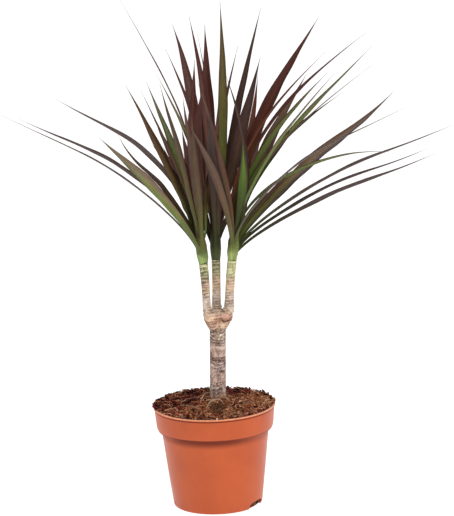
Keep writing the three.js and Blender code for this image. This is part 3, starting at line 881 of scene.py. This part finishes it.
def make_crumbs(material):
    """Crumbs all over the soil, the lump in front of the trunk, and the crumbs on the rim."""
    draw = random.Random(SEED + 1)
    batch = Batch()
    fine, coarse = clod_shape(1), clod_shape(2)
    stem = trunk_axis(STEM_FOOT_HEIGHT).xy
    for _ in range(CRUMB_COUNT):
        x, y = scatter(draw, CRUMB_REACH)
        size = FINEST_CRUMB + 1.15 * draw.random() ** 3.6
        if y < -30 and math.hypot(x, y) > 55:
            size *= 0.6
        if (Vector((x, y)) - stem).length < TRUNK_RADIUS + size + 0.2:
            continue
        centre = Vector((x, y, soil_height(x, y) + size * draw.uniform(-0.1, 0.55)))
        clod(batch, coarse if size > COARSE_FROM else fine, centre, size, draw, soil_tone(draw, x, y))
    for _ in range(LUMP_CRUMBS):
        way = Vector((draw.gauss(0, 1), draw.gauss(0, 1), abs(draw.gauss(0, 1)))).normalized()
        centre = LUMP_PLACE + stretched(way, LUMP_HALF)
        clod(batch, fine, centre, draw.uniform(0.4, 1.1), draw, linear(LUMP_TONE) * draw.uniform(0.12, 2.4))
    for turn, spread, count, rise in RIM_CRUMBS:
        for _ in range(count):
            angle = math.radians(turn + spread * draw.uniform(-1, 1))
            radius = draw.uniform(56, 60.2)
            size = FINEST_CRUMB + 1.4 * draw.random() ** 4
            centre = around(angle, radius, POT_HEIGHT + size * 0.3 + draw.random() ** 2 * rise)
            clod(batch, fine, centre, size, draw, soil_tone(draw, *centre.xy) * RIM_SHADE)
    batch.piece("soil_crumbs", material)


def fibre(batch, x, y, heading, length, radius, draw, tint, curl, lift):
    """A fibre that wanders over the soil from a start point."""
    steps = max(5, round(length / 1.3))
    path = []
    here = Vector((x, y, 0))
    swerve = draw.uniform(-curl, curl)
    for step in range(steps + 1):
        share = step / steps
        ground = soil_height(here.x, here.y) if here.xy.length < 57 else POT_HEIGHT + 0.3
        arch = 4 * share * (1 - share) * lift
        path.append(Vector((here.x, here.y, ground + 0.7 + radius + arch)))
        swerve = clamp(swerve + draw.uniform(-0.3, 0.3) * curl, -curl * 1.6, curl * 1.6)
        heading += swerve
        here = here + Vector((math.cos(heading), math.sin(heading), 0)) * (length / steps)
        if here.xy.length > FIBRE_LIMIT:
            here = Vector((*(here.xy * FIBRE_LIMIT / here.xy.length), 0))
    radii = [radius * (1 - 0.55 * abs(2 * k / steps - 1) ** 3) for k in range(steps + 1)]
    batch.add(*tube(path, radii, sides=5), tint)


def make_fibres(material):
    """Fibres where the soil is pale, the tangle of coir, the hairs on the rim, and the upright bits."""
    draw = random.Random(SEED + 2)
    batch = Batch()

    def lay(x, y, tint, headings, lengths, radii, curl, lifts):
        fibre(batch, x, y, draw.uniform(*headings), draw.uniform(*lengths), draw.uniform(*radii), draw, tint,
              curl, draw.uniform(*lifts))

    for _ in range(FIBRE_TRIES):
        x, y = scatter(draw, FIBRE_REACH)
        if draw.random() <= soil_pale(x, y) + 0.15:
            lay(x, y, pick(draw, FIBRE_TONES, 0.7, 1.3), ANY_WAY, (3, 12), (0.13, 0.3), 0.45, (0.1, 1.8))
    for _ in range(COIR_COUNT):
        x, y = draw.uniform(38, 54), draw.uniform(-16, 8)
        lay(x, y, pick(draw, FIBRE_TONES[:5], 0.8, 1.25), (-0.9, 2.6), (7, 17), (0.2, 0.42), 0.5, (0.5, 2.6))
    for _ in range(RIM_HAIRS):
        start = around(math.radians(draw.uniform(-12, 200)), 57, 0)
        lay(*start.xy, pick(draw, FIBRE_TONES, 0.3, 1), ANY_WAY, (2, 4), (0.1, 0.2), 0.6, (0.4, 1.8))
    for x, y, tall, lean in UPRIGHT_BITS:
        foot = Vector((x, y, soil_height(x, y) - 0.5))
        path = [foot, foot + Vector((lean * 0.3, 0, tall * 0.6)), foot + Vector((lean, 0.3, tall))]
        batch.add(*tube(path, (0.75, 0.5, 0.15), sides=6), linear(BIT_TONE))
    batch.piece("soil_fibres", material)


def make_roots(material):
    """Surface roots: arcs beside the trunk, and strands that run down its foot."""
    draw = random.Random(SEED + 3)
    batch = Batch()
    for number, (stations, radius) in enumerate(ROOT_ARCS):
        path = [point + UP * 1.1 for point in curve_through(stations, 7)]
        radii = [radius * (1 - 0.35 * k / len(path)) for k in range(len(path))]
        tint = linear(ARC_TONES[number >= PALE_ARCS]) * draw.uniform(0.7, 1)
        batch.add(*tube(path, radii, sides=8), tint)
    for number in range(STRAND_COUNT):
        angle = 2 * math.pi * (number + draw.uniform(-0.35, 0.35)) / STRAND_COUNT
        top = draw.uniform(108, 115.5)
        reach = draw.uniform(0.6, 2.6) + 2.6 * max(0, math.cos(angle))
        stations = []
        for share in (0, 0.4, 0.75, 1):
            height = lerp(top, STEM_FOOT_HEIGHT, share)
            out = TRUNK_RADIUS - 0.2 + reach * share ** 2.2
            swing = angle + 0.18 * share * draw.uniform(-1, 1)
            stations.append(around(swing, out, height, trunk_axis(height)))
        path = curve_through(stations, 4)
        size = draw.uniform(0.3, 0.65)
        shares = [min(1, 0.25 + k / len(path)) for k in range(len(path))]
        radii = [size * (0.5 + 0.5 * math.sin(math.pi * share)) for share in shares]
        batch.add(*tube(path, radii, sides=7), pick(draw, STRAND_TONES, 0.8, 1.1))
    batch.piece("surface_roots", material)


# --- cane ---

def limb_paths():
    """The trunk and the branches as lists of (x, y, z, radius)."""
    shares = [k / TRUNK_STEPS for k in range(TRUNK_STEPS + 1)]
    paths = {"trunk": [Vector((*TRUNK_FOOT.lerp(TRUNK_TOP, share), TRUNK_RADIUS)) for share in shares]}
    for name, stations in BRANCHES.items():
        paths[name] = curve_through(stations, 16)
    return paths


def nearest_limb(paths, point):
    """The name of the limb that a point of the skin belongs to."""
    def gap(name):
        path = paths[name]
        share = clamp((point.z - path[0].z) / (path[-1].z - path[0].z))
        centre = path[round(share * (len(path) - 1))]
        return (point - centre.xyz).length - centre.w

    return min(paths, key=gap)


def ring_wave(phase, width):
    """A ridge once in each turn of the phase, 1 on its crest."""
    return math.exp(-((phase % 1 - 0.5) / width) ** 2)


def bark_zone(name, height):
    """The two bark tones around a height, and the share of the second."""
    if name == "trunk":
        if height < 176:
            return "trunk", "neck", smooth(160, 170, height)
        return "neck", "fork", smooth(178, 186, height)
    if height < 200:
        return "fork", "low", smooth(186, 198, height)
    top = "top_middle" if name == "middle" else "top"
    if height < 220:
        return "low", "mid", smooth(206, 220, height)
    return "mid", top, smooth(222, 232, height)


def heal(point, shift, tone):
    """The healed cut: a smooth pink face with a dented crease under it, darkened with painted shadow."""
    gap = (point - HEALED_CUT).length
    tone = tone.lerp(linear(CUT_FACE), 0.85 * (1 - smooth(3.2, 4.8, gap)))
    under = smooth(-1.5, 2, HEALED_CUT.z - 1.5 - point.z)
    crease_shadow = smooth(3.6, 4.6, gap) * (1 - smooth(5.4, 7.2, gap)) * under
    # the dark of the crease under the cut is painted shadow; the crease is also dented in
    return shift * smooth(2.5, 4.6, gap) - 0.9 * crease_shadow, tone.lerp(linear(CUT_CREASE_SHADOW), 0.9 * crease_shadow)


def bark_look(name, point, draw):
    """The outward shift in millimetres and the colour of the bark at a point of the smooth skin."""
    height = point.z
    wobble = noise(point * 0.13) * 0.75 + noise(point * 0.5 + Vector((9, 0, 0))) * 0.2
    crumple = noise(point * 0.85) * 0.5 + noise(point * 1.7) * 0.28
    if name == "trunk":
        pitch = 4.7 + 0.5 * noise(Vector((0, 0, height * 0.07)))
        phase = height / pitch + wobble
        crest = ring_wave(phase, 0.11) + 0.55 * ring_wave(phase * 1.9 + 0.3 + wobble, 0.1)
        crest *= clamp(0.45 + 1.6 * noise(point * 0.14 + Vector((0, 0, 40))))
        shift = 0.32 * crest + 0.3 * crumple - 0.18
    else:
        pitch = 2.8 if height < 224 else 3.3
        phase = height / pitch + wobble * 0.7
        crest = ring_wave(phase, 0.15)
        tight = smooth(192, 204, height)
        shift = tight * (0.2 * crest - 0.08) + 0.14 * crumple
    knob = smooth(178, 185, height) * (1 - smooth(194, 202, height))
    shift += knob * (0.9 * noise(point * 0.28) + 0.6 * noise(point * 0.62))
    first, second, share = bark_zone(name, height)
    patch = clamp(0.5 + 1.5 * noise(point * 0.23 + Vector((0, 5, 0))))
    below, above = ([linear(code) for code in BARK_TONES[zone]] for zone in (first, second))
    tone = below[0].lerp(below[1], patch).lerp(above[0].lerp(above[1], patch), share)
    dark = below[2].lerp(above[2], share)
    stain = 1.7 * noise(Vector((point.x * 0.1, point.y * 0.1, height * 0.13 + 7)))
    stain += 0.3 * (1 - smooth(106, 130, height))
    # The dark band just below each ring's crest is a painted shadow line; the noise and stain terms add
    # stains and cracks
    tone = tone.lerp(dark, clamp(0.8 * ring_wave(phase + 0.25, 0.16) + 1.3 * noise(point * 1.1) + stain))
    pale = clamp(crest * (0.75 + noise(point * 0.4))) * (0.95 if name == "trunk" else 0.7)
    crest_tone = linear(CREST_TONES[share < 0.5 or name == "trunk"])
    shift, tone = heal(point, shift, tone.lerp(crest_tone, pale * (1 - 0.7 * knob)))
    return shift, tone * draw.uniform(0.94, 1.06)


def make_cane(material):
    """The trunk, fork and branches: fused, remeshed and smoothed, then carved with rings and knobs."""
    draw = random.Random(SEED + 4)
    paths = limb_paths()
    batch = Batch()
    for path in paths.values():
        batch.extend(*tube([row.xyz for row in path], [row.w for row in path], sides=48))
    ball, faces = clod_shape(4)
    for centre, half in FORK_LUMPS:
        batch.extend([Vector(centre) + stretched(point, half) for point in ball], faces)
    cane = batch.piece("cane_bark", material, ("cane",))
    remesh = cane.modifiers.new("fuse", "REMESH")
    remesh.mode = "VOXEL"
    remesh.voxel_size = CANE_VOXEL * MM
    soften = cane.modifiers.new("soften", "SMOOTH")
    soften.factor = 0.5
    soften.iterations = 8
    apply_modifiers(cane)
    mesh = cane.data
    mesh.update()
    skin = [(vertex, vertex.co / MM, vertex.normal.copy()) for vertex in mesh.vertices]
    tints = []
    for vertex, point, normal in skin:
        name = nearest_limb(paths, point)
        shift, tint = bark_look(name, point, draw)
        shift += CANE_SWELL[name] * smooth(0, 2, paths[name][-1].z - point.z if name != "trunk" else 2)
        shift *= smooth(96, 100, point.z)
        vertex.co = (point + normal * shift) * MM
        tints.append(tint)
    paint(mesh, tints)
    mesh.shade_smooth()
    mesh.update()


# --- leaves ---

def spread(along):
    """How wide a blade is along its length, as a share of its greatest width."""
    if along < LEAF_WIDEST:
        grown = math.sin(math.pi / 2 * along / LEAF_WIDEST)
        return lerp(LEAF_FOOT_WIDTH, 1, grown ** 1.4)
    return (1 - ((along - LEAF_WIDEST) / (1 - LEAF_WIDEST)) ** 1.3) ** LEAF_TAPER


def bow_share(along):
    """A blade leaves its head steeply and bends outward: the share of its bow at a place along it."""
    return along ** 0.7 * (1 - along) / 0.308


def curl_share(along):
    """The last half of a blade sags and then its tip rises, by shares of its curl."""
    if along < 0.5:
        return 0.0
    share = (along - 0.5) / 0.5
    return -math.sin(math.pi * share) * share ** 0.7


def core_radius(height):
    """The core tapers, but swells a little where the leaves leave it."""
    share = clamp(height / CORE_HEIGHT)
    return lerp(CORE_FOOT_RADIUS, CORE_TIP_RADIUS, share ** 3) + CORE_SWELL * math.sin(math.pi * share)


def fan_rows(head):
    """The rows of the leaves that fill a head's back, spaced by the golden share."""
    fan = head["fan"]
    rows = []
    for leaf in range(fan["count"]):
        share = (leaf + 0.5) / fan["count"]
        turn = math.radians(lerp(*fan["turn"], (0.5 + leaf * GOLDEN_SHARE) % 1))
        climb = math.radians(lerp(*fan["climb"], share))
        length = lerp(*fan["length"], share)
        height = lerp(*fan["root"], share)
        tip_height = head["foot"].z + height + length * math.sin(climb)
        tip = around(turn, length * math.cos(climb), tip_height, head["foot"] + head["lean"] * height)
        rows.append((height, *tip, FAN_BOW, 0, FAN_WIDTHS[leaf % 3], 0, FAN_TONE, FAN_CURL))
    return rows


def half_tones(tone):
    """The middle band's colours, the margin's colour and the band's share, for each half of a blade; a blade
    with a painted sheen on one half and painted shade on the other gets a tone for each.
    """
    halves = []
    for name in HALVES_SHEEN_AND_SHADE.get(tone, (tone, tone)):
        band, margin, share = TONES[name]
        halves.append((list(zip(TONE_STOPS, map(linear, band))), linear(margin), share))
    return halves


def blade_tint(halves, across, along):
    """The colour of a blade: its middle band narrows toward the tip and fades into the margins."""
    stops, margin, band_share = halves[across > 0]
    half = lerp(1.0, band_share, along / 0.5) if along < 0.5 else lerp(band_share, 0.0, 2 * along - 1)
    return along_table(stops, along).lerp(margin, smooth(half - 0.22, half + 0.22, abs(across)))


class Blade:
    """The line that one leaf follows: up the core inside its sheath, then out along its own bow."""

    def __init__(self, head, row, draw):
        self.height, *tip, self.bow, self.sway, self.width, self.turn, self.tone, self.curl = row
        self.foot = head["foot"]
        self.lean = head["lean"]
        self.root = self.foot + self.lean * self.height
        self.reach = Vector(tip) - self.root
        self.length = self.reach.length
        self.outward = Vector((self.reach.x, self.reach.y, 0)).normalized()
        self.level = UP.cross(self.outward)
        chord = self.reach.normalized()
        self.above = (UP - chord * chord.z).normalized()
        self.beside = chord.cross(self.above)
        ease = clamp(0.3 + self.height / 16)
        self.open = SHEATH_OPEN * ease
        self.depth = min(SHEATH_DEPTH, self.height + CORE_SINK)
        self.lift = FOUNTAIN_LIFT * math.sqrt(1 - chord.z) * ease
        self.wander = 0.9 * draw.uniform(-1, 1)

    def layer(self, travel):
        """How far the sheath lies off the core: it grows out of it and younger leaves nest inside."""
        return -0.3 + 0.1 * (travel + self.depth)

    def on_core(self, travel):
        return clamp(self.height + travel, -CORE_SINK, CORE_HEIGHT)

    def centre(self, travel):
        """The middle of the blade at a distance from its root."""
        along = max(0.0, travel) / self.length
        height = self.on_core(travel)
        radial = (self.outward - self.lean * self.outward.dot(self.lean)).normalized()
        held = self.foot + self.lean * height + radial * (core_radius(height) + self.layer(travel))
        fountain = along * self.length / FOUNTAIN_REACH
        fountain = self.lift * fountain * math.exp(1 - fountain)
        drift = self.wander * math.sin(8 * along) * 4 * along * (1 - along)
        out = ROOT_OUT * core_radius(self.height) * (1 - along)
        free = (self.root + self.outward * out + self.reach * along
                + self.above * (self.bow * bow_share(along) + self.curl * curl_share(along) + fountain)
                + self.beside * (self.sway * bow_share(along) + drift))
        return held.lerp(free, smooth(0, self.open, travel))

    def frame(self, travel):
        """The directions along, across and out of the upper face."""
        ahead = (self.centre(min(self.length, travel + 1.5)) - self.centre(travel - 1.5)).normalized()
        across = (self.level - ahead * self.level.dot(ahead)).normalized()
        return ahead, across, ahead.cross(across)


def make_leaf(batch, head, row, number):
    """One blade with its sheath: it wraps the core, opens into a shallow channel and tapers to a point."""
    draw = random.Random(f"{SEED} {number}")
    blade = Blade(head, row, draw)
    halves = half_tones(blade.tone)
    grey = linear(UNDER_GREY)
    sheath_low, sheath_high = (linear(code) for code in head["sheath"])
    shade = draw.uniform(0.82, 1.14)
    pale = draw.uniform(0.7, 1.15)
    ripple = draw.uniform(0.15, 0.45)
    ripple_turn = draw.uniform(*ANY_WAY)
    ripples = draw.uniform(3, 6)
    twist = draw.uniform(-8, 8)
    fade = draw.uniform(22, 62)
    travels = [-blade.depth * (1 - k / SHEATH_STEPS) for k in range(SHEATH_STEPS)]
    travels += [blade.length * (k / LEAF_STEPS) ** 1.3 for k in range(LEAF_STEPS + 1)]
    points = []
    tints = []
    marks = []
    for travel in travels:
        along = max(0.0, travel) / blade.length
        free = smooth(0, blade.open, travel)
        ahead, across, upper = blade.frame(travel)
        angle = math.radians(blade.turn * min(1, along / TURN_BY) + twist * math.sin(math.pi * along))
        turning = Matrix.Rotation(angle, 3, ahead)
        across = turning @ across
        upper = turning @ upper
        wrapped = SHEATH_WRAP * (core_radius(blade.on_core(travel)) + blade.layer(travel))
        half = max(LEAF_TIP_WIDTH, blade.width * spread(along)) / 2
        half = lerp(wrapped, half, smooth(-4, blade.open * 0.9, travel))
        opening = lerp(SHEATH_WRAP, LEAF_CHANNEL, free)
        radius = half / opening
        thick = lerp(*LEAF_THICKNESS, min(1, 2.5 * along)) * (1 - 0.6 * smooth(0.7, 1, along))
        thick *= lerp(0.5, 1, smooth(-blade.depth, 4, travel))
        middle = blade.centre(travel)
        rise = middle.z - blade.foot.z
        green = 1 - smooth(2, fade, rise)
        leafy = sheath_high.lerp(sheath_low, 1 - smooth(4, 15, rise)) * pale
        for face in (1, -1):
            for place in LEAF_SECTION if face == 1 else reversed(LEAF_SECTION):
                turned = opening * place
                skin = thick / 2 * (1 - 0.6 * abs(place) ** 3)
                if face == -1:
                    skin += 0.28 * thick * math.exp(-(place / 0.2) ** 2)
                wave = ripple * math.sin(ripples * 2 * math.pi * along + ripple_turn + place) * place * place
                wave *= min(1, half / 5) * smooth(0.15, 0.4, along)
                normal = upper * math.cos(turned) - across * math.sin(turned)
                point = (middle + across * (radius * math.sin(turned))
                         + upper * (radius * (1 - math.cos(turned))) + normal * (skin * face + wave))
                tint = blade_tint(halves, place, along)
                if face == -1:
                    tint = tint.lerp(grey, 0.08)
                points.append(point)
                tints.append((tint * shade).lerp(leafy * (1 - 0.5 * abs(place) ** 5), green))
                marks.append((place, travel + SHEATH_DEPTH, number * 3.7))
    faces = [face[::-1] for face in ring_faces(len(travels), 2 * len(LEAF_SECTION))]
    batch.extend(points, faces, tints, marks)


def make_core(batch, head):
    """The green stem inside a head."""
    heights = [-CORE_SINK + (CORE_HEIGHT + CORE_SINK) * k / CORE_STEPS for k in range(CORE_STEPS + 1)]
    path = [head["foot"] + head["lean"] * height for height in heights]
    points, faces = tube(path, [core_radius(height) for height in heights], sides=20)
    tint = linear(head["sheath"][1]) * 0.8
    marks = [(0.4, (point - head["foot"]).length, 1.0) for point in points]
    batch.extend(points, faces, [tint] * len(points), marks)


def make_head(name, head, material, first):
    """One leaf head; its leaves are numbered on from the first, and the next number comes back."""
    batch = Batch()
    make_core(batch, head)
    rows = [*LEAVES[name], *fan_rows(head)]
    for number, row in enumerate(rows, first):
        make_leaf(batch, head, row, number)
    batch.piece(f"leaves_{name}", material, (f"head_{name}",))
    return first + len(rows)


# --- build ---

make_camera()
make_studio()
make_pot(pot_material())
soil = soil_material("potting_soil")
make_soil(soil)
make_crumbs(soil)
make_fibres(soil_material("coir", 0.8))
bark = bark_material()
make_roots(bark)
make_cane(bark)
leaf = leaf_material()
leaf_number = 1
for head_name, head_data in HEADS.items():
    leaf_number = make_head(head_name, head_data, leaf, leaf_number)
